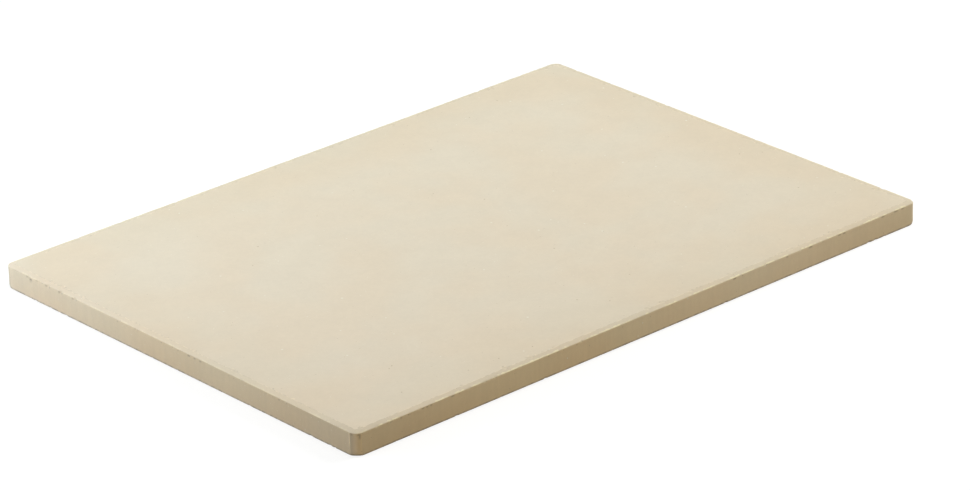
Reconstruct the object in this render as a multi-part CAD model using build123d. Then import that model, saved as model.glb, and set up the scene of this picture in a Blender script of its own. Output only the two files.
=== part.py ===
from build123d import *
import math
import os

# A rectangular pizza stone: one slab of cordierite, pressed in a mould, fired and left unglazed.
# It lies as it does in the oven. The origin is the middle of the underside, +X runs along the
# long side, +Y along the short side, and +Z points up to the baking face. Lengths are in mm.

# Outside of the slab
LENGTH = 415.0
WIDTH = 300.0
THICKNESS = 14.0
CORNER_RADIUS = 5.0  # in plan, on all four corners

# The pressed rim of the baking face: a shallow slope that runs all round, just inside the wall
SLOPE_WIDTH = 3.6  # from the wall inwards
SLOPE_DROP = 0.6  # fall from the baking face to the wall
SLOPE_EASING = 6.0  # radius that rolls the baking face over into the slope

# The two edges of the wall
ARRIS_RADIUS = 0.4  # between the slope and the wall
UNDERSIDE_RADIUS = 0.6  # between the wall and the underside

# Fired cordierite, for the mass that is printed
DENSITY = 2.0  # g/cm3


def pressed_blank():
    """The plain slab as the die gives it: a rounded rectangle with upright walls."""
    outline = RectangleRounded(LENGTH, WIDTH, CORNER_RADIUS)
    return extrude(outline, amount=THICKNESS)


def edges_at(slab, height):
    """Every edge of the slab that lies level at this height."""
    return slab.edges().filter_by_position(Axis.Z, height, height)


def slope_rim(slab):
    """Press the shallow slope into the rim, then ease the baking face over into it."""
    baking_face = slab.faces().sort_by(Axis.Z)[-1]
    sloped = chamfer(edges_at(slab, THICKNESS), SLOPE_WIDTH, SLOPE_DROP, reference=baking_face)
    return fillet(edges_at(sloped, THICKNESS), SLOPE_EASING)


def round_wall_edges(slab):
    """Take the sharpness off the arris at the top of the wall and off the edge it stands on."""
    softened = fillet(edges_at(slab, THICKNESS - SLOPE_DROP), ARRIS_RADIUS)
    return fillet(edges_at(softened, 0), UNDERSIDE_RADIUS)


def main():
    slab = round_wall_edges(slope_rim(pressed_blank()))
    slope_angle = math.degrees(math.atan2(SLOPE_DROP, SLOPE_WIDTH))
    print(f"slope of the rim {slope_angle:.1f} degrees")
    print(f"volume {slab.volume / 1000:.1f} cm3, mass {slab.volume * DENSITY / 1e6:.2f} kg")
    os.makedirs("parts", exist_ok=True)
    export_step(slab, "parts/baking_stone.step")


main()
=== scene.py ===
# %% [markdown]
# A pizza stone, dressed in Blender.
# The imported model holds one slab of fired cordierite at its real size. A real slab also carries the
# marks of how it was made: the die gives it a rolled rim, the kiln leaves it a little out of flat,
# trapped air leaves pinholes, and handling knocks small chips from its edges. This script builds
# that surface as one closed mesh, gives it a sandy ceramic finish and sets it on a pale floor under
# soft studio light. Everything is in metres, unless a name or a comment says millimetres.

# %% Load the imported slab
import math
import random

import bmesh
import bpy
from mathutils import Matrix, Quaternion, Vector, noise
from mathutils.geometry import delaunay_2d_cdt


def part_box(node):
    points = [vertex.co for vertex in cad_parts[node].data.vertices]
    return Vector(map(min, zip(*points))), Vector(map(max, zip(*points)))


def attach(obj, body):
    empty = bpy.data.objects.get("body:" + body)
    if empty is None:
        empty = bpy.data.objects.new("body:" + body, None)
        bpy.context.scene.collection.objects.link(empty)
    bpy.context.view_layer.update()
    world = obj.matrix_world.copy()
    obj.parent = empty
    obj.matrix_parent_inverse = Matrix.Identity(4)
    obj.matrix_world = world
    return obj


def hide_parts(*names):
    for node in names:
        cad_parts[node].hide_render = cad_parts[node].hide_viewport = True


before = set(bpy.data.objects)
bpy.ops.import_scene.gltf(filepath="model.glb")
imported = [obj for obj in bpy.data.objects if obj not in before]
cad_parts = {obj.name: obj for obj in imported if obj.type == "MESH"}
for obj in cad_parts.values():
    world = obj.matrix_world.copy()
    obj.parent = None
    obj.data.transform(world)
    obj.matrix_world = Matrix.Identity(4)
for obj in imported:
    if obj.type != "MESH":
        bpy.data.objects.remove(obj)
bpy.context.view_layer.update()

MM = 0.001
slab_low, slab_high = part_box("baking_stone")
LENGTH, WIDTH, THICKNESS = slab_high - slab_low
print(f"slab {LENGTH / MM:.1f} x {WIDTH / MM:.1f} x {THICKNESS / MM:.1f} mm")

# %% [markdown]
# The camera.
# A thing this flat is photographed from some way off with a long lens, so that the far edge doesn't
# shrink. A camera can be placed by eye and nudged. Here it was worked out from the slab's straight
# edges: the lens, the distance and three angles put the four corners and both lower edges where the
# photograph has them. The aim is the point of the baking face in the middle of the picture.

# %% Camera
LENS_MM = 176.17
AIM = Vector((-4.0 * MM, -21.9 * MM, THICKNESS))
DISTANCE = 2.632
AZIMUTH, ELEVATION, ROLL = -41.077, 24.194, -1.819  # degrees


def add_object(name, data):
    """A new object in the scene."""
    thing = bpy.data.objects.new(name, data)
    bpy.context.scene.collection.objects.link(thing)
    return thing


def direction(azimuth, elevation):
    """The way out from the stone, turned in degrees from -Y towards +X and then raised."""
    turn, rise = math.radians(azimuth), math.radians(elevation)
    level = math.cos(rise)
    return Vector((math.sin(turn) * level, -math.cos(turn) * level, math.sin(rise)))


back = direction(AZIMUTH, ELEVATION)
roll = Quaternion((0, 0, 1), math.radians(ROLL))
camera_data = bpy.data.cameras.new("product_camera")
camera_data.lens = LENS_MM
camera = add_object("product_camera", camera_data)
camera.location = AIM + back * DISTANCE
camera.rotation_mode = "QUATERNION"
camera.rotation_quaternion = (-back).to_track_quat("-Z", "Y") @ roll
bpy.context.scene.camera = camera
bpy.context.scene.view_settings.view_transform = "Standard"
print("camera at", [round(v, 3) for v in camera.location])

# %% [markdown]
# The section of the slab's edge.
# Cut through the edge and the slab has one profile all the way round: underside, a small round,
# an upright wall, a tight round at the arris, a shallow slope and a soft easing into the flat
# baking face. One way is to bevel a box, but then every round has the same number of steps. Here
# the profile is drawn as a path of corners, and each corner is rounded with its own radius, as in
# the CAD model. Each point says how far it lies in from the wall and how high it is.

# %% Sizes of the edge
CORNER_RADIUS = 5.0 * MM
SLOPE_WIDTH = 3.6 * MM
SLOPE_DROP = 0.6 * MM
SLOPE_EASING = 6.0 * MM
ARRIS_RADIUS = 0.4 * MM
UNDERSIDE_RADIUS = 0.6 * MM
print("the wall is", round((THICKNESS - SLOPE_DROP) / MM, 2), "mm high")


# %% Rounding and stepping along a path
def rounded_corner(before, corner, after, radius, steps):
    """The arc that rounds one corner of a path, as points from its start to its end."""
    towards_before = (before - corner).normalized()
    towards_after = (after - corner).normalized()
    turn = math.pi - towards_before.angle(towards_after)
    start = corner + towards_before * radius * math.tan(turn / 2)
    middle = (towards_before + towards_after).normalized()
    centre = corner + middle * radius / math.cos(turn / 2)
    end = corner + towards_after * radius * math.tan(turn / 2)
    from_start, from_end = start - centre, end - centre
    arc = []
    for step in range(steps + 1):
        share = step / steps
        spoke = from_start * math.sin((1 - share) * turn) + from_end * math.sin(share * turn)
        arc.append(centre + spoke / math.sin(turn))
    return arc


def towards(start, end, distances):
    """Points on a straight run, at these distances from its start."""
    heading = (end - start).normalized()
    return [start + heading * distance for distance in distances]


# %% Draw the section
WELL_IN = 20 * MM
HEEL_STEPS, WALL_STEPS, ARRIS_STEPS, EASING_STEPS = 4, 5, 4, 4
HEEL_ROWS = (0.35 * MM, 0.8 * MM, 1.4 * MM)
ARRIS_ROWS = (0.3 * MM, 0.6 * MM, 0.9 * MM, 1.3 * MM, 1.9 * MM)
SLOPE_ROWS = (0.35 * MM, 0.8 * MM, 1.4 * MM, 2.1 * MM)


def edge_section():
    """Stretches of (inset, height) points from the underside, up the wall and in over the rim."""
    under = Vector((WELL_IN, 0))
    heel = Vector((0, 0))
    arris = Vector((0, THICKNESS - SLOPE_DROP))
    rim = Vector((SLOPE_WIDTH, THICKNESS))
    face = Vector((WELL_IN, THICKNESS))
    heel_arc = rounded_corner(under, heel, arris, UNDERSIDE_RADIUS, HEEL_STEPS)
    arris_arc = rounded_corner(heel, arris, rim, ARRIS_RADIUS, ARRIS_STEPS)
    easing_arc = rounded_corner(arris, rim, face, SLOPE_EASING, EASING_STEPS)
    low_wall = towards(heel_arc[-1], arris_arc[0], HEEL_ROWS)
    high_wall = towards(arris_arc[0], heel_arc[-1], ARRIS_ROWS)[::-1]
    middle = [low_wall[-1].lerp(high_wall[0], s / WALL_STEPS) for s in range(1, WALL_STEPS)]
    slope = towards(arris_arc[-1], easing_arc[0], SLOPE_ROWS)
    return heel_arc, low_wall + middle + high_wall, arris_arc, slope, easing_arc


heel_arc, wall, arris_arc, slope, easing_arc = edge_section()
section = heel_arc + wall + arris_arc + slope + easing_arc
FACE_INSET = section[-1].x
print(len(section), "points, and the baking face starts", round(FACE_INSET / MM, 2), "mm in")

# %% [markdown]
# Four lines round the slab.
# The heel, the middle of the wall, the arris and the crest of the rim run all the way round, and
# marks and wear are placed by their distance from these lines. A straight distance would reach
# through the stone, so it is measured over the surface, along the section.

# %% Lines along the section
FIRST_WALL_ROW = len(heel_arc)
HEEL_ROW = FIRST_WALL_ROW // 2
WALL_MIDDLE_ROW = FIRST_WALL_ROW + len(HEEL_ROWS) + WALL_STEPS // 2
ARRIS_ROW = FIRST_WALL_ROW + len(wall) + len(arris_arc) // 2
CREST_ROW = len(section) - len(easing_arc) // 2

section_run = [0.0]
for before, after in zip(section, section[1:]):
    section_run.append(section_run[-1] + (after - before).length)
line_runs = [section_run[row] for row in (HEEL_ROW, WALL_MIDDLE_ROW, ARRIS_ROW, CREST_ROW)]
heel_run, wall_run, arris_run, crest_run = line_runs
print("mm along the section to heel, wall, arris, crest:", [round(r / MM, 1) for r in line_runs])

# %% [markdown]
# The marks on the edges.
# No edge of a fired slab is perfect. Small chips come off it when slabs are stacked, and grit that
# sticks in the die leaves dents just under the arris. Chips could be painted on, but then the edge
# is still a ruler line from the side, so they are cut into the mesh. Each mark has a place along
# its side, a line of the section that it lies on, and a size. A few are where the photograph shows
# them, and dice set the rest, most of them small. A side is counted from the middle of one corner
# to the middle of the next, facing -Y first and then anticlockwise.

# %% The four sides and a list of marks for each
FRONT_SIDE, LEFT_SIDE = 0, 3
STRAIGHT_LONG = LENGTH - 2 * CORNER_RADIUS
STRAIGHT_SHORT = WIDTH - 2 * CORNER_RADIUS
HALF_CORNER = CORNER_RADIUS * math.pi / 4
SIDE_LENGTHS = [run + 2 * HALF_CORNER for run in (STRAIGHT_LONG, STRAIGHT_SHORT) * 2]
marks = [[] for _ in SIDE_LENGTHS]


def add_mark(side, along, half_length, run, half_height, depth):
    """Put a mark on a side, and on its neighbour too where it reaches round the corner."""
    marks[side].append((along, half_length, run, half_height, depth))
    if along < half_length:
        before = (side - 1) % 4
        marks[before].append((along + SIDE_LENGTHS[before], half_length, run, half_height, depth))


print("mm along each side:", [round(side_length / MM, 1) for side_length in SIDE_LENGTHS])

# %% Chips that the dice set
DICE_SEED = 415
SMALLEST_CHIP_MM, CHIP_GROWTH_MM = 0.45, 1.5  # half length of the smallest, and what size adds
SHALLOWEST = 0.25  # as a share of the deepest
CHIPPED_LINES = (
    dict(run=arris_run, spacing=9 * MM, deepest=0.34 * MM, flatness=0.8),
    dict(run=arris_run - 0.9 * MM, spacing=22 * MM, deepest=0.30 * MM, flatness=0.45),
    dict(run=heel_run, spacing=15 * MM, deepest=0.26 * MM, flatness=0.8),
    dict(run=crest_run, spacing=12 * MM, deepest=0.30 * MM, flatness=0.6),
)
CORNER_FOOT = dict(
    along=0.0, half_length=5.0 * MM, run=heel_run, half_height=1.8 * MM, depth=0.42 * MM,
)
dice = random.Random(DICE_SEED)


def add_chips(side, run, spacing, deepest, flatness):
    """Random chips along one line of a side, as high as their half length times the flatness."""
    for _ in range(round(SIDE_LENGTHS[side] / spacing)):
        size = dice.random() ** 3
        half_length = (SMALLEST_CHIP_MM + CHIP_GROWTH_MM * size) * MM
        along = dice.uniform(0, SIDE_LENGTHS[side])
        depth = (SHALLOWEST + (1 - SHALLOWEST) * size) * deepest
        add_mark(side, along, half_length, run, flatness * half_length, depth)


for side in range(4):
    for line in CHIPPED_LINES:
        add_chips(side, **line)
    add_mark(side, **CORNER_FOOT)
print("marks on the four sides", [len(side_marks) for side_marks in marks])

# %% Marks that the photograph shows
# A place is the x or y of the slab, the half length and the depth, all in millimetres.
SEEN_MARKS = (
    dict(side=FRONT_SIDE, run=arris_run, half_height=0.9 * MM, places=(
        (-179.5, 1.1, 0.26), (-171, 0.9, 0.22), (-163.5, 1.3, 0.30), (-50, 0.9, 0.24),
        (-32, 0.8, 0.24),
    )),
    dict(side=FRONT_SIDE, run=arris_run - 0.8 * MM, half_height=0.6 * MM, places=(
        (-171.5, 1.3, 0.30), (-161.6, 1.6, 0.30), (-158.8, 1.3, 0.26), (-156, 1.2, 0.22),
        (-141.2, 2.0, 0.26), (145.5, 2.0, 0.22), (180, 2.0, 0.20), (190.5, 2.6, 0.24),
        (196, 1.6, 0.20),
    )),
    dict(side=LEFT_SIDE, run=arris_run - 0.2 * MM, half_height=1.5 * MM, places=(
        (128.5, 1.4, 0.70), (118, 4.2, 0.50), (110.5, 2.3, 0.85), (99, 2.0, 0.80),
        (86.5, 2.5, 0.90),
    )),
    dict(side=LEFT_SIDE, run=arris_run - 1.5 * MM, half_height=1.1 * MM, places=(
        (126, 1.3, 0.36),
    )),
    dict(side=LEFT_SIDE, run=heel_run, half_height=0.8 * MM, places=(
        (123, 1.3, 0.36), (109, 1.6, 0.30), (95.5, 2.2, 0.34), (-129, 1.5, 0.34),
        (-133, 1.0, 0.30),
    )),
)


def add_seen(side, run, half_height, places):
    """Marks along one line of a side, at places read from the photograph."""
    for place, half_length, depth in places:
        middle = (STRAIGHT_LONG if side == FRONT_SIDE else STRAIGHT_SHORT) / 2
        along = HALF_CORNER + middle + (place if side == FRONT_SIDE else -place) * MM
        add_mark(side, along, half_length * MM, run, half_height, depth * MM)


for group in SEEN_MARKS:
    add_seen(**group)
print(sum(len(group["places"]) for group in SEEN_MARKS), "marks where the photograph has them")

# %% Dents beside the front corner
# Each is (side, distance along it, half length, distance below the arris, half height, depth).
left_side_end = SIDE_LENGTHS[LEFT_SIDE] / MM
CORNER_DENTS_MM = (
    (FRONT_SIDE, 1.6, 1.5, 0.9, 0.7, 0.26),
    (FRONT_SIDE, 2.1, 0.9, 1.9, 1.2, 0.26),
    (LEFT_SIDE, left_side_end - 2.6, 0.9, 1.0, 0.7, 0.30),
)
for side, *sizes_mm in CORNER_DENTS_MM:
    along, half_length, below, half_height, depth = (size * MM for size in sizes_mm)
    add_mark(side, along, half_length, arris_run - below, half_height, depth)
print(len(CORNER_DENTS_MM), "dents beside the front corner")

# %% [markdown]
# The outline, seen from above.
# The wall runs along four straight sides and four quarter rounds. The skin of the slab is laid on
# stations along that outline, and a mesh needs more of them where there is more to show. So the
# stations are a steady step apart, and closer together over each mark and round the corners.

# %% Stations along the outline
STEP = 2.0 * MM
MARK_STEP = 0.42 * MM
LEAST_STEP = 0.25 * MM
CORNER_STEPS = 7
SEAM_HALF_WIDTH = 1.1 * MM


def station_at(side, along):
    """(point, outward normal) on the wall, at a distance along one side."""
    heading = Vector((1, 0)) if side % 2 == 0 else Vector((0, 1))
    outward = Vector((0, -1)) if side % 2 == 0 else Vector((1, 0))
    if side >= 2:
        heading.negate()
        outward.negate()
    straight = SIDE_LENGTHS[side] - 2 * HALF_CORNER
    reach = (WIDTH if side % 2 == 0 else LENGTH) / 2
    on_straight = min(max(along - HALF_CORNER, 0), straight)
    turned = (along - HALF_CORNER - on_straight) / CORNER_RADIUS
    normal = outward * math.cos(turned) + heading * math.sin(turned)
    hub = heading * (on_straight - straight / 2) + outward * (reach - CORNER_RADIUS)
    return hub + normal * CORNER_RADIUS, normal


def distances_along(side):
    """Where the stations of one side are, from corner middle to corner middle."""
    side_length = SIDE_LENGTHS[side]
    places = [HALF_CORNER * step / CORNER_STEPS for step in range(CORNER_STEPS)]
    places += [side_length - place - HALF_CORNER / CORNER_STEPS for place in places]
    straight = side_length - 2 * HALF_CORNER
    steps = round(straight / STEP)
    places += [HALF_CORNER + straight * step / steps for step in range(steps)]
    for along, half_length, *_ in marks[side]:
        count = math.ceil(half_length / MARK_STEP)
        places += [along + MARK_STEP * step for step in range(-count, count + 1)]
    seam = side_length - HALF_CORNER
    places += [seam + SEAM_HALF_WIDTH * share for share in (-1, -0.5, 0, 0.5, 1)]
    kept = []
    for place in sorted(p for p in places if 0 <= p < side_length - LEAST_STEP):
        if not kept or place - kept[-1] > LEAST_STEP:
            kept.append(place)
    return kept


stations = [(side, along) for side in range(4) for along in distances_along(side)]
print(len(stations), "stations round the outline")

# %% [markdown]
# How the surface leaves its ideal shape.
# Every point of the skin starts on the ideal slab and then moves a little. The fired slab dips
# slowly across its face and arches along its length. The wall waves, the arris and the crest of the
# rim wander where the wet clay was wiped, and the marks bite in. Where the plates of the die meet,
# at two opposite corners, a hair-thin seam stands in a shallow hollow. All of it goes inwards,
# because the ideal slab is as large as the real one gets. A displacement modifier could do this,
# but it needs an even, dense mesh. A formula for each point lets the mesh stay coarse where nothing
# happens, and the noise of mathutils gives the same values every run.

# %% Arch and dip
ARCH = 0.20 * MM
FACE_DIP = 0.16 * MM
END_FALL = 0.4  # of the arch, that the face falls towards its ends
BROAD_SWELL, LESSER_SWELL = 150 * MM, 60 * MM
LESSER_SLICE = 50 * MM  # where the lesser swells are cut from the noise
DIP_SWING, LESSER_SHARE = 0.6, 0.4  # of both swells in the dip, and of the lesser in both


def swell(distance, reach):
    """1 at a mark's middle, falling smoothly to 0 at its reach."""
    share = min(abs(distance) / reach, 1.0)
    return (1 - share * share) ** 2


def warp(x, y, height):
    """How far a point is lifted by the arch of the slab and the dip of its face."""
    towards_end = (2 * x / LENGTH) ** 2
    broad = noise.noise(Vector((x, y, 0)) / BROAD_SWELL)
    lesser = noise.noise(Vector((y, x, LESSER_SLICE)) / LESSER_SWELL)
    dipped = min(max(0.5 + DIP_SWING * (broad + LESSER_SHARE * lesser), 0), 1)
    dip = FACE_DIP * dipped + END_FALL * ARCH * towards_end
    share = height / THICKNESS
    return ARCH * (1 - towards_end) * (1 - share) - dip * share


print("the middle of the underside stands", round(warp(0, 0, 0) / MM, 2), "mm off the floor")

# %% Seams of the die
SEAM_PROUD = 0.10 * MM
SEAM_RISE = 1.6  # how fast a seam grows on its way up the wall


def seam_at(side, along, row, reach=SEAM_HALF_WIDTH):
    """How near a point is to a seam: 1 on it, fading out towards the foot of the wall."""
    if side % 2 == 0 or not FIRST_WALL_ROW <= row <= ARRIS_ROW:
        return 0.0
    from_seam = along - SIDE_LENGTHS[side] + HALF_CORNER
    up = (section_run[row] - heel_run) / (arris_run - heel_run)
    return swell(from_seam, reach) * min(SEAM_RISE * up, 1)


# %% Wavers and marks
# A noise is given by the length of its waves and two seeds, so that no two of them match.
WALL_WAVE, WALL_NOISE = 0.10 * MM, (38 * MM, 7.3, 0)
ARRIS_WAVER, ARRIS_REACH = 0.11 * MM, 1.2 * MM
ARRIS_SLOW_NOISE, ARRIS_QUICK_NOISE = (11 * MM, 3.1, 4), (3.2 * MM, 5.7, 9)
CREST_WAVER, CREST_REACH, CREST_NOISE = 0.06 * MM, 2.2 * MM, (3.6 * MM, 2.3, 17)
ARRIS_SWING, CREST_SWING = 0.35, 0.6  # of each noise, as a share of the waver


def noise_along(side, along, wave_length, side_seed, seed):
    """Noise along one side, from about -1 to 1."""
    return noise.noise(Vector((along / wave_length, side * side_seed, seed)))


def bite(side, along, row, near_marks):
    """How deep the surface lies under the ideal one, at one point of the edge."""
    run = section_run[row]
    depth = WALL_WAVE * (0.5 + 0.5 * noise_along(side, along, *WALL_NOISE))
    depth *= swell(run - wall_run, THICKNESS / 2)
    near_arris = swell(run - arris_run, ARRIS_REACH)
    if near_arris > 0:
        slow = noise_along(side, along, *ARRIS_SLOW_NOISE)
        quick = noise_along(side, along, *ARRIS_QUICK_NOISE)
        depth += ARRIS_WAVER * near_arris * (0.5 + ARRIS_SWING * slow + ARRIS_SWING * quick)
    near_crest = swell(run - crest_run, CREST_REACH)
    if near_crest > 0:
        waver = noise_along(side, along, *CREST_NOISE)
        depth += CREST_WAVER * near_crest * (0.5 + CREST_SWING * waver)
    depth += SEAM_PROUD * (seam_at(side, along, row, HALF_CORNER) - seam_at(side, along, row))
    for place, half_length, mark_run, half_height, mark_depth in near_marks:
        depth += mark_depth * swell(along - place, half_length) * swell(run - mark_run, half_height)
    return max(depth, 0.0)


# %% [markdown]
# The skin of the edge.
# The section and the outline together make a grid: one row for each point of the section, one
# column for each station. A curve with a bevel profile would sweep the same grid, but here each
# vertex is placed one by one so that it can carry its own marks. For the material, a vertex also
# remembers how worn it is by the arris, or how pale a seam is painted as a highlight, how near it is
# to the foot of the wall, along which shade is painted, and how much painted shade it holds. The
# marks below the arris hold painted shade, while the chips on the arris hold none.

# %% What a vertex of the edge remembers
# A seam is painted paler than the worn arris, as a highlight where its ridge catches the light.
SEAM_HIGHLIGHT = 1.5
WIPED_INWARDS, WIPED_DOWNWARDS = 2.4 * MM, 0.35 * MM
FOOT_REACH = 1.3 * MM
# marks lower than this under the arris are painted with shade
SHADED_BELOW = 0.5 * MM


def wear_and_seam_highlight(side, along, row):
    """How worn a point is by its distance from the arris, or more on a seam, where a highlight is
    painted.
    """
    from_arris = section_run[row] - arris_run
    worn = swell(from_arris, WIPED_INWARDS if from_arris > 0 else WIPED_DOWNWARDS)
    return max(worn, SEAM_HIGHLIGHT * seam_at(side, along, row))


def painted_hollow_shade(along, row, near_marks):
    """How much painted shade a point of the wall holds, from the marks below the arris."""
    held = 0.0
    for place, half_length, mark_run, half_height, _ in near_marks:
        if mark_run < arris_run - SHADED_BELOW:
            from_mark = section_run[row] - mark_run
            held += swell(along - place, half_length) * swell(from_mark, half_height)
    return min(held, 1.0)


# %% Skin of the edge
FACE_CHART, UNDERSIDE_CHART, FIRST_SIDE_CHART = 0, 1, 2
skin = bmesh.new()
# worn by the arris, or painted pale on a seam as a highlight
wear_and_highlight_layer = skin.verts.layers.float.new("edge_wear_and_seam_highlight")
# how near the foot of the wall, along which shade is painted
foot_layer = skin.verts.layers.float.new("foot")
# how much painted shade lies in a hole or dent
hollow_shade_layer = skin.verts.layers.float.new("hollow_shade")
chart_layer = skin.faces.layers.int.new("chart")  # the view of the bake map that shows a face


def section_normal(row):
    """Outward normal of the section at one of its points, as (outward, up)."""
    if row in (0, len(section) - 1):
        return Vector((0, -1 if row == 0 else 1))
    along = (section[row + 1] - section[row - 1]).normalized()
    return Vector((along.y, along.x))


def skin_column(side, along):
    """One column of vertices, from the underside to the baking face."""
    on_wall, outward = station_at(side, along)
    near_marks = [mark for mark in marks[side] if abs(along - mark[0]) < mark[1]]
    column = []
    for row, (inset, height) in enumerate(section):
        out_share, up_share = section_normal(row)
        depth = bite(side, along, row, near_marks)
        flat = on_wall - outward * (inset + depth * out_share)
        lifted = height - depth * up_share + warp(flat.x, flat.y, height)
        vertex = skin.verts.new((flat.x, flat.y, lifted))
        vertex[wear_and_highlight_layer] = wear_and_seam_highlight(side, along, row)
        vertex[foot_layer] = swell(section_run[row] - heel_run, FOOT_REACH)
        vertex[hollow_shade_layer] = painted_hollow_shade(along, row, near_marks)
        column.append(vertex)
    return column


columns = [skin_column(side, along) for side, along in stations]
for index, (side, _) in enumerate(stations):
    here, after = columns[index], columns[(index + 1) % len(columns)]
    for row in range(len(section) - 1):
        face = skin.faces.new((here[row], after[row], after[row + 1], here[row + 1]))
        if row >= ARRIS_ROW:
            face[chart_layer] = FACE_CHART
        elif row < HEEL_ROW:
            face[chart_layer] = UNDERSIDE_CHART
        else:
            face[chart_layer] = FIRST_SIDE_CHART + side
print(len(skin.faces), "faces in the skin of the edge")

# %% [markdown]
# Pinholes.
# Air trapped in the pressed clay leaves pinholes. In a picture they are a pixel or two across, and
# dark dots in the material would do, but they are the first thing a close view looks for. So each
# is a nest of rings that go down in a bowl. The outer two are level, which keeps the shading of the
# flat face round it clean, and no two holes are out of round in the same way. A grain of grit is
# the same nest of rings turned upwards, worn off at the slab's own height.

# %% One pinhole or grain
# Each ring is its share of the hole's radius and of its depth.
PIT_RINGS = ((1.7, 0.0), (1.3, 0.0), (1.05, 0.15), (0.85, 0.62), (0.5, 0.95), (0.0, 1.0))
PIT_SIDES = 10
OVAL, THREE_SIDED = 0.16, 0.09


def pinhole(x, y, radius, depth):
    """The points of one hole as (x, y, depth, how far inside the hole)."""
    turn = dice.uniform(0, math.tau)
    points = []
    for reach, share in PIT_RINGS:
        inside = share if depth > 0 else 0.0
        if reach == 0:
            points.append((x, y, depth, inside))
            continue
        for step in range(PIT_SIDES):
            angle = math.tau * step / PIT_SIDES
            wobble = 1 + OVAL * math.sin(2 * angle + turn)
            wobble += THREE_SIDED * math.sin(3 * angle + 2 * turn)
            out = radius * reach * wobble
            at = (x + out * math.cos(angle), y + out * math.sin(angle))
            points.append((*at, depth * share, inside))
    return points


print("a pinhole has", PIT_SIDES * (len(PIT_RINGS) - 1) + 1, "points")

# %% Where they are
CLEAR_OF_RIM = 4 * MM
CLEAR_OF_EACH_OTHER = 2.5  # of their radii added up
SMALLEST_HOLE_MM, HOLE_GROWTH_MM = 0.18, 0.22
HOLE_DEPTHS, GRAIN_DEPTHS = (0.5, 0.9), (-0.35, -0.2)  # of the radius
SEEN_DEPTH = 0.65  # of the radius
FACE_HOLES, FACE_GRAINS, UNDERSIDE_HOLES = 70, 70, 60
SEEN_PINHOLES_MM = (
    (-94, 67, 0.42), (-112, 49.5, 0.34), (-96, -135.5, 0.36), (20, -52.5, 0.40),
    (-141.5, -102, 0.38), (-17, -111, 0.34), (-5.5, -124.5, 0.36),
)


def scatter(count, grains, inset, first=()):
    """Holes and then grains over a face, clear of each other and the rim: (x, y, radius, depth)."""
    spots = list(first)
    reach_x, reach_y = (size / 2 - inset - CLEAR_OF_RIM for size in (LENGTH, WIDTH))
    while len(spots) < count + grains:
        x, y = dice.uniform(-reach_x, reach_x), dice.uniform(-reach_y, reach_y)
        radius = (SMALLEST_HOLE_MM + HOLE_GROWTH_MM * dice.random() ** 3) * MM
        depth = dice.uniform(*(HOLE_DEPTHS if len(spots) < count else GRAIN_DEPTHS))
        if all(
            math.hypot(x - spot[0], y - spot[1]) > CLEAR_OF_EACH_OTHER * (radius + spot[2])
            for spot in spots
        ):
            spots.append((x, y, radius, radius * depth))
    return spots


seen_pinholes = [
    (x * MM, y * MM, radius * MM, radius * SEEN_DEPTH * MM) for x, y, radius in SEEN_PINHOLES_MM
]
face_spots = scatter(FACE_HOLES, FACE_GRAINS, FACE_INSET, seen_pinholes)
underside_spots = scatter(UNDERSIDE_HOLES, 0, UNDERSIDE_RADIUS)
print(len(face_spots), "pinholes and grains on the baking face")
print(len(underside_spots), "pinholes underneath")

# %% [markdown]
# The baking face and the underside.
# Each is a flat sheet inside the ring that the edge skin leaves open. A grid would waste faces on
# the plain parts and still be too coarse for the pinholes. A Delaunay triangulation joins any set
# of points, dense at the border and the holes and sparse between them, into well-shaped triangles.
# The border points are the skin's own vertices, so the mesh closes.

# %% Points of one flat side
GRID = 9 * MM
GRID_JITTER = 0.2  # of the grid
BORDER_RINGS = ((1.2 * MM, 2.4 * MM), (3.6 * MM, 4.8 * MM))  # further in, and spacing
HOLE_CLEARANCE, HOLE_MARGIN = 2.4, 0.5 * MM


def rectangle_ring(inset, spacing):
    """Points a steady step apart on a rectangle that lies in from the walls."""
    half_x, half_y = LENGTH / 2 - inset, WIDTH / 2 - inset
    corners = [(-half_x, -half_y), (half_x, -half_y), (half_x, half_y), (-half_x, half_y)]
    points = []
    for (x0, y0), (x1, y1) in zip(corners, corners[1:] + corners[:1]):
        steps = round(math.hypot(x1 - x0, y1 - y0) / spacing)
        points += [(x0 + (x1 - x0) * s / steps, y0 + (y1 - y0) * s / steps) for s in range(steps)]
    return points


def jittered_grid(half_x, half_y):
    """Points a little off a square grid, so that no rows show in the shading."""
    across, along = round(2 * half_x / GRID), round(2 * half_y / GRID)
    points = []
    for i in range(across + 1):
        for j in range(along + 1):
            x = -half_x + 2 * half_x * i / across + dice.uniform(-GRID_JITTER, GRID_JITTER) * GRID
            y = -half_y + 2 * half_y * j / along + dice.uniform(-GRID_JITTER, GRID_JITTER) * GRID
            points.append((x, y))
    return points


def sheet_points(border, inset, holes):
    """(x, y, depth, how far inside a hole) of every point of one sheet, the border first."""
    points = [(v.co.x, v.co.y, 0.0, 0.0) for v in border]
    loose = []
    for further, spacing in BORDER_RINGS:
        loose += rectangle_ring(inset + further, spacing)
    innermost = BORDER_RINGS[-1][0]
    loose += jittered_grid(*(size / 2 - inset - innermost - GRID / 2 for size in (LENGTH, WIDTH)))
    for x, y in loose:
        if all(
            math.hypot(x - hole[0], y - hole[1]) > HOLE_CLEARANCE * hole[2] + HOLE_MARGIN
            for hole in holes
        ):
            points.append((x, y, 0.0, 0.0))
    for hole in holes:
        points += pinhole(*hole)
    return points


# %% Fill the two flat sides
INSIDE_THE_BORDER = 1  # the triangles that Blender's Delaunay function keeps
SAME_POINT = 1e-7


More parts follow.
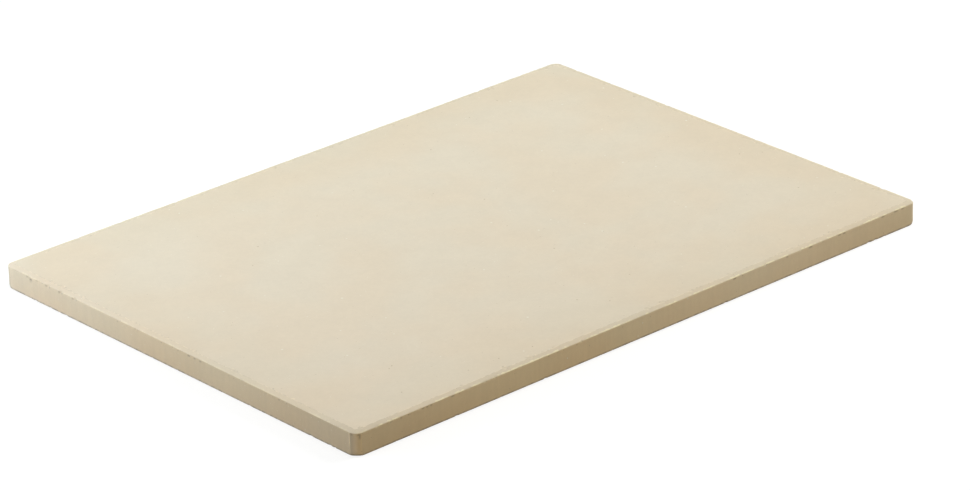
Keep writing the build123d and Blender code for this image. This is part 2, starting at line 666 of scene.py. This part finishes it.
def fill_sheet(border, inset, height, holes, chart, upwards):
    """Triangulate one flat side and sew it to the border vertices of the skin."""
    points = sheet_points(border, inset, holes)
    rim = [(i, (i + 1) % len(border)) for i in range(len(border))]
    flat = [Vector(point[:2]) for point in points]
    filled = delaunay_2d_cdt(flat, rim, [], INSIDE_THE_BORDER, SAME_POINT)
    triangles, sources = filled[2], filled[3]
    vertices = list(border)
    for x, y, depth, inside in points[len(border):]:
        lifted = height + warp(x, y, height) + (-depth if upwards else depth)
        vertex = skin.verts.new((x, y, min(lifted, THICKNESS)))
        # how far inside a hole, which is painted with shade
        vertex[hollow_shade_layer] = inside
        vertices.append(vertex)
    for triangle in triangles:
        corners = [vertices[sources[i][0]] for i in triangle]
        face = skin.faces.new(corners if upwards else corners[::-1])
        face[chart_layer] = chart
    return len(triangles)


face_border = [column[-1] for column in columns]
underside_border = [column[0] for column in columns]
on_face = fill_sheet(face_border, FACE_INSET, THICKNESS, face_spots, FACE_CHART, True)
underneath = fill_sheet(
    underside_border, UNDERSIDE_RADIUS, 0.0, underside_spots, UNDERSIDE_CHART, False,
)
open_edges = [edge for edge in skin.edges if len(edge.link_faces) != 2]
print(on_face, "triangles on the face and", underneath, "underneath")
print("edges that don't join two faces:", len(open_edges))

# %% [markdown]
# A map for the bake.
# The finish will one day be baked to a picture, and the skin needs a map for it. A smart projection
# would share that picture evenly, but people look at the baking face most, so the map is laid out
# as six views: a large plan, a smaller view from below, and four walls as strips.

# %% Six views for the bake map
MAP_PIXELS = 1024
MAP_GAP = 7
FACE_SCALE, UNDERSIDE_SCALE, WALL_SCALE = 2.0 / MM, 1.34 / MM, 2.0 / MM
EAST, NORTH, UP = Vector((1, 0, 0)), Vector((0, 1, 0)), Vector((0, 0, 1))
strip_pitch = THICKNESS * WALL_SCALE + 2 * MAP_GAP
strips_from = LENGTH * FACE_SCALE + 2 * MAP_GAP
underside_from = WIDTH * FACE_SCALE + 2 * MAP_GAP

# Each view is its right, its up, its pixels to the metre, and its left and lower border.
charts = {
    FACE_CHART: (EAST, NORTH, FACE_SCALE, MAP_GAP, MAP_GAP),
    UNDERSIDE_CHART: (-EAST, NORTH, UNDERSIDE_SCALE, MAP_GAP, underside_from),
}
for side, heading in enumerate((EAST, NORTH, -EAST, -NORTH)):
    strip_left = strips_from + side * strip_pitch
    charts[FIRST_SIDE_CHART + side] = (-UP, heading, WALL_SCALE, strip_left, MAP_GAP)

bake_map = skin.loops.layers.uv.new("OFBake")
slab_middle = (slab_low + slab_high) / 2
slab_size = slab_high - slab_low
for face in skin.faces:
    right, up, scale, left, bottom = charts[face[chart_layer]]
    for loop in face.loops:
        out = loop.vert.co - slab_middle
        across = left + (out.dot(right) + abs(slab_size.dot(right)) / 2) * scale
        along = bottom + (out.dot(up) + abs(slab_size.dot(up)) / 2) * scale
        loop[bake_map].uv = (across / MAP_PIXELS, along / MAP_PIXELS)
print(len(charts), "views on a map of", MAP_PIXELS, "pixels")

# %% [markdown]
# From skin to piece.
# The finished skin becomes one object. Its faces are smooth, since a fired edge has no facets. The
# piece rides on the slab's only body and stands for the plain slab, which is hidden.

# %% The fired stone
stone_mesh = bpy.data.meshes.new("fired_stone")
skin.to_mesh(stone_mesh)
skin.free()
stone_mesh.shade_smooth()
stone = add_object("fired_stone", stone_mesh)
triangles = sum(len(polygon.vertices) - 2 for polygon in stone_mesh.polygons)
print("fired_stone has", len(stone_mesh.vertices), "vertices and", triangles, "triangles")

# %% Give the piece its place
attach(stone, "root")
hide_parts("baking_stone")
print("fired_stone stands for baking_stone")

# %% [markdown]
# The finish: fired cordierite.
# The clay fires to a dry cream with no glaze. Seen close it is sandy: grains a third of a
# millimetre across, a few of them dark with iron, a few white. Seen from a step away it is one even
# colour with broad, very faint clouds. A picture of real stone would fix all of that at one size,
# while noise nodes keep their detail at any distance and need no seams. Each helper below makes a
# node in the tree in hand and links it.

# %% Node helpers
stone_finish = bpy.data.materials.new("fired_cordierite")
stone_finish.use_nodes = True
tree = stone_finish.node_tree
shader = tree.nodes["Principled BSDF"]


def feed(socket, value):
    """Set a socket to a value, or link it to another node's output."""
    if isinstance(value, bpy.types.NodeSocket):
        tree.links.new(value, socket)
    else:
        socket.default_value = value


def calculate(operation, first, second=0.5, third=0.5):
    """One step of arithmetic."""
    node = tree.nodes.new("ShaderNodeMath")
    node.operation = operation
    for socket, value in zip(node.inputs, (first, second, third)):
        feed(socket, value)
    return node.outputs[0]


def times(first, second):
    """Two values multiplied."""
    return calculate("MULTIPLY", first, second)


def blend_colours(share, below, above, mode="MIX"):
    """Lay one colour over another, by a share from 0 to 1."""
    node = tree.nodes.new("ShaderNodeMix")
    node.data_type = "RGBA"
    node.blend_type = mode
    for name, value in (("Factor_Float", share), ("A_Color", below), ("B_Color", above)):
        feed(next(s for s in node.inputs if s.identifier == name), value)
    return next(s for s in node.outputs if s.identifier == "Result_Color")


def tinted(colour, tint):
    """A colour multiplied by another, or made lighter or darker by a value."""
    return blend_colours(1.0, colour, tint, "MULTIPLY")


def calculate_vector(operation, *values):
    """One step of arithmetic on vectors, or the distance between two."""
    node = tree.nodes.new("ShaderNodeVectorMath")
    node.operation = operation
    for socket, value in zip(node.inputs, values):
        feed(socket, value)
    return node.outputs["Value" if operation == "DISTANCE" else "Vector"]


def ramp(value, low, high, at_low=0.0, at_high=1.0):
    """Turn a stretch of values into another, held at both ends and smooth between."""
    node = tree.nodes.new("ShaderNodeMapRange")
    node.interpolation_type = "SMOOTHSTEP"
    for socket, setting in zip(node.inputs, (value, low, high, at_low, at_high)):
        feed(socket, setting)
    return node.outputs[0]


def split(vector):
    """The x, y and z of a vector."""
    node = tree.nodes.new("ShaderNodeSeparateXYZ")
    feed(node.inputs[0], vector)
    return node.outputs["X"], node.outputs["Y"], node.outputs["Z"]


# %% [markdown]
# Grain at its real size.
# All the noise reads the slab's own coordinates in millimetres, so each size below is that of a
# real lump or grain. It could lie on the bake map instead, but that has other scales underneath.

# %% Millimetres and noise
coordinates = tree.nodes.new("ShaderNodeTexCoord")
millimetres = calculate_vector("MULTIPLY", coordinates.outputs["Object"], (1 / MM,) * 3)
SEED_SHIFT = (1.0, 1.7, 0.6)  # the way that a seed moves a noise, so that no two are alike


def grain(size_mm, detail, seed):
    """Cloudy noise from 0 to 1, with lumps this many millimetres across, one size or three."""
    sizes = size_mm if isinstance(size_mm, tuple) else (size_mm,) * 3
    shrink, shift = [1 / size for size in sizes], [seed * step for step in SEED_SHIFT]
    node = tree.nodes.new("ShaderNodeTexNoise")
    feed(node.inputs["Vector"], calculate_vector("MULTIPLY_ADD", millimetres, shrink, shift))
    feed(node.inputs["Scale"], 1.0)
    feed(node.inputs["Detail"], detail)
    return node.outputs["Fac"]


# %% [markdown]
# The cream.
# The cream leans a little warmer in some places than in others. On top of that lie faint clouds,
# grit and sand, each a percent or two lighter or darker. One noise with much detail would hold all
# of these sizes, but then none could be made stronger alone.

# %% Cream, clouds, grit and sand
CREAM_COOL = (0.760, 0.692, 0.571, 1)
CREAM_WARM = (0.765, 0.680, 0.549, 1)
WARM_AREAS = (0.35, 0.65)
FROM_DARK_TO_LIGHT = (0.3, 0.7)

mottle = grain(55, 2, seed=3)
clouds = grain(14, 2, seed=11)
grit = grain(2.6, 2, seed=17)
sand = grain(0.9, 3, seed=23)
fine_sand = grain(0.32, 2, seed=37)

clay = blend_colours(ramp(mottle, *WARM_AREAS), CREAM_COOL, CREAM_WARM)
level = 1.0
for pattern, swing in ((clouds, 0.019), (grit, 0.017), (sand, 0.016), (fine_sand, 0.010)):
    darkest = calculate("SUBTRACT", level, swing / 2)
    level = calculate("MULTIPLY_ADD", ramp(pattern, *FROM_DARK_TO_LIGHT), swing, darkest)
clay = tinted(clay, level)
print("the cream takes", len(tree.nodes), "nodes")

# %% [markdown]
# Where a point of the surface is.
# What the work does to the clay depends on the place, and so do the light and shade painted on it.
# The vertices carry how worn they are or how pale a seam is painted, how near the foot and how much
# painted shade they hold, the normal tells a wall from the sloping rim, and the coordinates give the
# distance to the front corner, round which shade is painted. Painted masks would be lost when the
# mesh changes, while these follow it.

# %% Masks from the layers, the normal and the place
UPRIGHT, SLOPING = (0.85, 0.25), (0.9996, 0.9955)  # the normal's own height
LOW_DOWN_MM, LEFT_END_MM = (13.0, 2.0), (-195.0, -204.0)
# Shade is painted round the front corner, and cool light far from it.
SHADED_CORNER_MM = (-207.5, -150.0, 7.0)
CORNER_SHADE_MM, COOL_LIGHT_MM, LESS_COOL_LIGHT_MM = (-40.0, 115.0), (120.0, 300.0), (300.0, 400.0)
LESS_COOL_LIGHT = 0.7


def layer(name):
    """A value that each vertex of the skin carries."""
    reader = tree.nodes.new("ShaderNodeAttribute")
    reader.attribute_name = name
    return reader.outputs["Fac"]


edge_wear_and_seam_highlight, foot, hollow_shade = layer("edge_wear_and_seam_highlight"), layer("foot"), layer("hollow_shade")

facing_x, facing_y, facing_z = split(coordinates.outputs["Normal"])
upright = ramp(calculate("ABSOLUTE", facing_z), *UPRIGHT)
sloping = ramp(facing_z, *SLOPING)

place_x, place_y, place_z = split(millimetres)
low_down = ramp(place_z, *LOW_DOWN_MM)
left_end = ramp(place_x, *LEFT_END_MM)

from_shaded_corner = calculate_vector("DISTANCE", millimetres, SHADED_CORNER_MM)
corner_shade = ramp(from_shaded_corner, *CORNER_SHADE_MM, 1.0, 0.0)
cool_light = times(ramp(from_shaded_corner, *COOL_LIGHT_MM), ramp(from_shaded_corner, *LESS_COOL_LIGHT_MM, 1.0, LESS_COOL_LIGHT))
print("the masks end at", len(tree.nodes), "nodes")

# %% [markdown]
# The wiped arris.
# A wet slab is wiped round its arris, and handling wears it again, so pale flecks show there, in
# patches. The wear alone would give a clean stripe, and noise added to it tears the stripe up.

# %% Pale flecks on the arris, and a painted highlight on the seams
PALE_WEAR_AND_HIGHLIGHT = (0.93, 0.87, 0.67, 1)
WEAR_PULL = 0.8
FLECKED, IN_PATCHES = (1.02, 1.2), (0.42, 0.56)
FEWER_AT_LEFT = 0.6

# On a seam the value runs higher, so these flecks are a painted highlight there.
torn_wear_and_highlight = calculate("MULTIPLY_ADD", edge_wear_and_seam_highlight, WEAR_PULL, grain(1.5, 2, seed=51))
pale_wear_and_seam_highlight = times(ramp(torn_wear_and_highlight, *FLECKED), ramp(grain(6.0, 2, seed=57), *IN_PATCHES))
pale_wear_and_seam_highlight = times(pale_wear_and_seam_highlight, calculate("MULTIPLY_ADD", left_end, -FEWER_AT_LEFT, 1.0))
clay = blend_colours(pale_wear_and_seam_highlight, clay, PALE_WEAR_AND_HIGHLIGHT)
print("the arris ends at", len(tree.nodes), "nodes")

# %% [markdown]
# The rim and the baking face.
# The pressed rim keeps more of the clay's own tan than the face, with painted shade on it that is
# darkest at the front corner, and it is hardly tinted at the left end, which is painted lighter.
# Crumbs lie in its crease. The middle of the baking face is painted a touch paler and cooler than
# its border, as the light falls. A tint could cover the clay, but here it multiplies it, and the
# grain still shows.

# %% Tints, and painted light and shade, of the rim and the face
RIM_TAN_AND_SHADE = (0.938, 0.923, 0.888, 1)
RIM_TAN_AND_LIGHT_FAR = (0.967, 0.955, 0.925, 1)
LEFT_RIM_LIGHT = (0.965, 0.950, 0.916, 1)
LEFT_RIM_LIGHT_FAR = (1.015, 0.989, 0.972, 1)
CORNER_RIM_SHADE = (0.884, 0.870, 0.837, 1)
FACE_BORDER_SHADE = (0.997, 0.987, 0.979, 1)
FACE_MIDDLE_LIGHT = (1.017, 1.020, 1.035, 1)
LEFT_RIM_MM, BY_CORNER_MM, FACE_MIDDLE_MM = (-70.0, 100.0), (35.0, 8.0), (5.0, 60.0)

# The rim's own tan, with painted shade darkest by the front corner and painted light far from it and
# at the left end.
on_rim = calculate("SUBTRACT", 1.0, upright)
rim_tan_light_and_shade = blend_colours(cool_light, RIM_TAN_AND_SHADE, RIM_TAN_AND_LIGHT_FAR)
left_rim_light = blend_colours(ramp(place_y, *LEFT_RIM_MM), LEFT_RIM_LIGHT, LEFT_RIM_LIGHT_FAR)
rim_tan_light_and_shade = blend_colours(times(left_end, on_rim), rim_tan_light_and_shade, left_rim_light)
rim_shade_by_corner = times(ramp(from_shaded_corner, *BY_CORNER_MM), on_rim)
rim_tan_light_and_shade = blend_colours(rim_shade_by_corner, rim_tan_light_and_shade, CORNER_RIM_SHADE)

# Painted light: the middle of the face a touch paler and cooler, its border darker and warmer.
in_from_ends = calculate("SUBTRACT", LENGTH / 2 / MM, calculate("ABSOLUTE", place_x))
in_from_sides = calculate("SUBTRACT", WIDTH / 2 / MM, calculate("ABSOLUTE", place_y))
face_middle_light = ramp(calculate("MINIMUM", in_from_ends, in_from_sides), *FACE_MIDDLE_MM)
face_light_and_shade = blend_colours(face_middle_light, FACE_BORDER_SHADE, FACE_MIDDLE_LIGHT)
clay = tinted(clay, blend_colours(sloping, face_light_and_shade, rim_tan_light_and_shade))

# %% Crumbs along the crease of the rim
CREASE_CRUMBS = 0.9
CRUMBS = (0.36, 0.64)

crease = times(sloping, calculate("SUBTRACT", 1.0, sloping))
crumbs = ramp(grain(2.2, 2, seed=83), *CRUMBS, -CREASE_CRUMBS, CREASE_CRUMBS)
clay = tinted(clay, calculate("MULTIPLY_ADD", crease, crumbs, 1.0))
print("the rim and the face end at", len(tree.nodes), "nodes")

# %% [markdown]
# The walls.
# The walls are tan too, partly their own tan and partly a painted warmth of the shade they stand in,
# darker and warmer low down, with faint streaks where the slab slid out of the die. Painted shade
# makes them browner near the front corner, and painted cool light greyer far from it. The round of
# the front corner has painted shade beside its seam and painted light beyond it, and the other
# corners are painted a little darker. A second material for the walls would leave a hard line at the
# arris, while a mask lets one colour run into the other.

# %% Tan, streaks, and painted light and shade
# The walls' own tan with a painted warm shade in it, darker and warmer low down.
WALL_TAN_AND_WARM_SHADE = (1.093, 1.055, 0.934, 1)
WALL_TAN_AND_WARM_SHADE_LOW = (1.068, 1.013, 0.879, 1)
CORNER_SHADE_TINT = (0.863, 0.858, 0.853, 1)
COOL_LIGHT_TINT = (1.058, 1.093, 1.19, 1)
STREAK_SIZES_MM = (2.4, 2.4, 26)
STREAK_SWING, DARKEST_STREAK = 0.026, 0.987

tan = blend_colours(low_down, WALL_TAN_AND_WARM_SHADE, WALL_TAN_AND_WARM_SHADE_LOW)
streaks = ramp(grain(STREAK_SIZES_MM, 2, seed=61), *FROM_DARK_TO_LIGHT)
tan = tinted(tan, calculate("MULTIPLY_ADD", streaks, STREAK_SWING, DARKEST_STREAK))
# Painted shade near the front corner, and painted cool light far from it.
tan = blend_colours(corner_shade, tan, tinted(tan, CORNER_SHADE_TINT))
tan = blend_colours(cool_light, tan, tinted(tan, COOL_LIGHT_TINT))

# %% Round corners with painted light and shade, and seams with a painted highlight
SEAM_SIDE_SHADE, FRONT_ROUND_LIGHT = -0.17, 0.19
LEFT_CORNER_SHADE, RIGHT_CORNER_SHADE = -0.19, -0.08
TURNING_TO_FRONT, ON_THE_ROUND = (-0.15, -0.9), (0.06, 0.22)  # from the normal
FROM_LEFT_TO_RIGHT_MM, PAST_FRONT_MM = (310.0, 400.0), (50.0, 100.0)
SEAM_HIGHLIGHT_RANGE, SEAM_HIGHLIGHT_LIFT = (1.0, 1.4), 1.30

# Painted shade and light on the corner rounds: the front one darker beside its seam and lighter
# beyond it, the others darker.
front_round_light_and_shade = ramp(facing_y, *TURNING_TO_FRONT, SEAM_SIDE_SHADE, FRONT_ROUND_LIGHT)
far_corner_shade = ramp(from_shaded_corner, *FROM_LEFT_TO_RIGHT_MM, LEFT_CORNER_SHADE, RIGHT_CORNER_SHADE)
corner_light_and_shade = ramp(from_shaded_corner, *PAST_FRONT_MM, front_round_light_and_shade, far_corner_shade)
on_the_round = ramp(calculate("ABSOLUTE", times(facing_x, facing_y)), *ON_THE_ROUND)
tan = tinted(tan, calculate("MULTIPLY_ADD", on_the_round, corner_light_and_shade, 1.0))
# A seam is painted paler still, as a highlight.
tan = tinted(tan, ramp(edge_wear_and_seam_highlight, *SEAM_HIGHLIGHT_RANGE, 1.0, SEAM_HIGHLIGHT_LIFT))
clay = blend_colours(upright, clay, tinted(clay, tan))
print("the walls end at", len(tree.nodes), "nodes")

# %% [markdown]
# Grains, and painted shade.
# Grains of iron show brown and grit shows white. Voronoi cells give each grain its own place and
# size, where a noise cut off at a level would run grains together. On the walls some are drawn out
# into upright scratches. Last comes painted shade, in patches along the foot of the wall and in holes
# and dents.

# %% Grains of iron and grit
IRON_BROWN = (0.30, 0.23, 0.16, 1)
GRIT_WHITE = (0.88, 0.85, 0.76, 1)
SMALLEST_GRAIN, GRAIN_GROWTH = 0.6, 0.7  # of the radius that is asked for
GRAIN_EDGE = (1.0, 0.6)


def specks(spacing_mm, radius_mm, share, tall=1.0):
    """Small grains set at random, of which only a share of the places holds one."""
    cells = tree.nodes.new("ShaderNodeTexVoronoi")
    feed(cells.inputs["Vector"], calculate_vector("MULTIPLY", millimetres, (1, 1, 1 / tall)))
    feed(cells.inputs["Scale"], 1 / spacing_mm)
    chance = tree.nodes.new("ShaderNodeSeparateColor")
    feed(chance.inputs[0], cells.outputs["Color"])
    held = calculate("LESS_THAN", chance.outputs["Red"], share)
    growth, smallest = radius_mm * GRAIN_GROWTH, radius_mm * SMALLEST_GRAIN
    size = calculate("MULTIPLY_ADD", chance.outputs["Green"], growth, smallest)
    distance = times(cells.outputs["Distance"], spacing_mm)
    return times(ramp(calculate("DIVIDE", distance, size), *GRAIN_EDGE), held)


scratches = times(specks(7.5, 0.42, 0.30, tall=6), upright)
for grains, cover, colour in (
    (specks(3.4, 0.26, 0.25), 0.45, IRON_BROWN),
    (specks(2.6, 0.30, 0.30), 0.60, GRIT_WHITE),
    (specks(9.0, 0.60, 0.45), 0.90, GRIT_WHITE),
    (scratches, 0.5, GRIT_WHITE),
):
    clay = blend_colours(times(grains, cover), clay, colour)
print("the grains end at", len(tree.nodes), "nodes")

# %% Painted shade at the foot and in holes and dents
FOOT_SHADE_GREY = (0.26, 0.22, 0.17, 1)
HOLLOW_SHADE_BROWN = (0.40, 0.33, 0.24, 1)
FOOT_SHADE_PATCHES, FOOT_SHADE_COVER, HOLLOW_SHADE_COVER = (0.38, 0.62), (0.35, 0.95), 0.72

# Painted shade in patches along the foot of the wall.
foot_shade = times(foot, ramp(grain(3.0, 2, seed=71), *FOOT_SHADE_PATCHES, *FOOT_SHADE_COVER))
clay = blend_colours(foot_shade, clay, FOOT_SHADE_GREY)
# Painted shade in holes and in the marks below the arris.
clay = blend_colours(times(hollow_shade, HOLLOW_SHADE_COVER), clay, HOLLOW_SHADE_BROWN)
feed(shader.inputs["Base Color"], clay)
print("the colour takes", len(tree.nodes), "nodes")

# %% [markdown]
# The feel of the clay.
# Fired cordierite is dry to the touch. It scatters light nearly as much sideways as straight back,
# so its roughness is high and its gloss low. The sand stands a few hundredths of a millimetre
# proud, which is too fine for the mesh, so that relief goes into a bump. Wiped edges are a little
# smoother than the faces.

# %% Roughness and bump
SAND_RELIEF = 0.028 * MM
SAND_LEVELS, SAND_ROUGHNESS = (0.25, 0.75), (0.84, 0.95)
WIPED_SMOOTH = 0.10
LITTLE_GLOSS, VERY_MATT = 0.25, 0.6
SAND_SHARE, FINE_SAND_SHARE, CLOUD_SHARE = 0.8, 0.5, 1.2

feed(shader.inputs["Specular IOR Level"], LITTLE_GLOSS)
feed(shader.inputs["Diffuse Roughness"], VERY_MATT)
roughness = ramp(sand, *SAND_LEVELS, *SAND_ROUGHNESS)
roughness = calculate("MULTIPLY_ADD", edge_wear_and_seam_highlight, -WIPED_SMOOTH, roughness)
feed(shader.inputs["Roughness"], roughness)

relief = calculate("MULTIPLY_ADD", sand, SAND_SHARE, times(fine_sand, FINE_SAND_SHARE))
relief = calculate("MULTIPLY_ADD", clouds, CLOUD_SHARE, relief)
bump = tree.nodes.new("ShaderNodeBump")
feed(bump.inputs["Distance"], SAND_RELIEF)
feed(bump.inputs["Height"], relief)
feed(shader.inputs["Normal"], bump.outputs[0])

stone_mesh.materials.append(stone_finish)
print("fired_cordierite has", len(tree.nodes), "nodes")

# %% [markdown]
# The floor.
# The photograph has a pure white ground. Turning up the lamps until a floor clips would bleach the
# stone too. So the floor answers the camera with a little light of its own on top of what falls on
# it, and everything else with a plain pale grey, a touch warm. It still darkens where the stone
# shades it.

# %% Floor
FLOOR_HALF = 6.0
FLOOR_GAP = 0.05 * MM
FLOOR_GLOW = 0.80
FLOOR_FOR_CAMERA = (0.24, 0.24, 0.24, 1)
FLOOR_FOR_LIGHT = (0.34, 0.31, 0.27, 1)


def seen_directly():
    """1 for the camera and for what a gloss or a glass shows it, 0 for light on its way."""
    path = tree.nodes.new("ShaderNodeLightPath")
    seen = calculate("MAXIMUM", path.outputs["Is Camera Ray"], path.outputs["Is Glossy Ray"])
    return calculate("MAXIMUM", seen, path.outputs["Is Transmission Ray"])


floor_mesh = bpy.data.meshes.new("floor")
floor_corners = [
    (x * FLOOR_HALF, y * FLOOR_HALF, -FLOOR_GAP) for x, y in ((-1, -1), (1, -1), (1, 1), (-1, 1))
]
floor_mesh.from_pydata(floor_corners, [], [(0, 1, 2, 3)])
floor = add_object("floor", floor_mesh)

floor_finish = bpy.data.materials.new("pale_floor")
floor_finish.use_nodes = True
tree = floor_finish.node_tree
tree.nodes.remove(tree.nodes["Principled BSDF"])
seen = seen_directly()
paint = tree.nodes.new("ShaderNodeBsdfDiffuse")
feed(paint.inputs["Color"], blend_colours(seen, FLOOR_FOR_LIGHT, FLOOR_FOR_CAMERA))
glow = tree.nodes.new("ShaderNodeEmission")
feed(glow.inputs["Strength"], times(seen, FLOOR_GLOW))
both = tree.nodes.new("ShaderNodeAddShader")
feed(both.inputs[0], paint.outputs[0])
feed(both.inputs[1], glow.outputs[0])
feed(tree.nodes["Material Output"].inputs["Surface"], both.outputs[0])
floor_mesh.materials.append(floor_finish)
print("floor", 2 * FLOOR_HALF, "m across")

# %% [markdown]
# The studio.
# The light is read from the slab itself. The baking face is even and a little brighter at its left
# end, so most of its light comes from two large boxes, one overhead and one high on the right,
# which only grazes the long front wall. The short wall is brightest at its left end, so three small
# cool lamps stand near there: one behind it, and one low and one higher beside it. The long wall is
# dull and warm, with only a weak, warm lamp in front. Guessing six lamps at once takes long, so the
# slab was rendered by each lamp alone, and these powers and colours add up to the photograph.

# %% Lamps
LAMPS = {
    "overhead": dict(
        azimuth=0, elevation=89, distance=1.6, size=1.4, power=10.4, colour=(1.0, 0.96, 0.89)),
    "right": dict(
        azimuth=75, elevation=40, distance=1.8, size=1.0, power=24.4, colour=(0.98, 1.0, 0.96)),
    "front": dict(
        azimuth=-15, elevation=20, distance=2.2, size=1.0, power=9.45, colour=(1.0, 0.86, 0.66)),
    "behind_left": dict(
        azimuth=-150, elevation=25, distance=0.9, size=0.4, power=2.75, colour=(0.75, 0.99, 1.0)),
    "left_low": dict(
        azimuth=-110, elevation=10, distance=0.9, size=0.4, power=2.55, colour=(0.86, 0.88, 1.0)),
    "left_high": dict(
        azimuth=-110, elevation=25, distance=0.9, size=0.4, power=1.45, colour=(0.88, 0.89, 1.0)),
}
face_middle = Vector((0, 0, THICKNESS))


def hang_lamp(name, azimuth, elevation, distance, size, power, colour):
    """A square soft box at a direction and distance from the stone, facing it."""
    out = direction(azimuth, elevation)
    lamp_data = bpy.data.lights.new(name, "AREA")
    lamp_data.shape = "SQUARE"
    lamp_data.size = size
    lamp_data.energy = power
    lamp_data.color = colour
    lamp = add_object(name, lamp_data)
    lamp.location = face_middle + out * distance
    lamp.rotation_mode = "QUATERNION"
    lamp.rotation_quaternion = out.to_track_quat("Z", "Y")
    lamp.visible_camera = False
    return lamp


lamps = [hang_lamp(name, **settings) for name, settings in LAMPS.items()]
print("lamps:", [lamp.name for lamp in lamps])

# %% [markdown]
# The sky.
# The world stands for the studio's far walls: almost dark for the stone, so that the lamps shape
# it, and white for the camera. A white backdrop would look the same from this side only.

# %% Sky
SKY_LEVEL = 0.005
world = bpy.data.worlds.new("studio")
world.use_nodes = True
bpy.context.scene.world = world
tree = world.node_tree
sky = tree.nodes["Background"]
feed(sky.inputs["Strength"], calculate("MULTIPLY_ADD", seen_directly(), 1 - SKY_LEVEL, SKY_LEVEL))
feed(sky.inputs["Color"], (1, 1, 1, 1))
print("the sky lights the stone at", SKY_LEVEL)
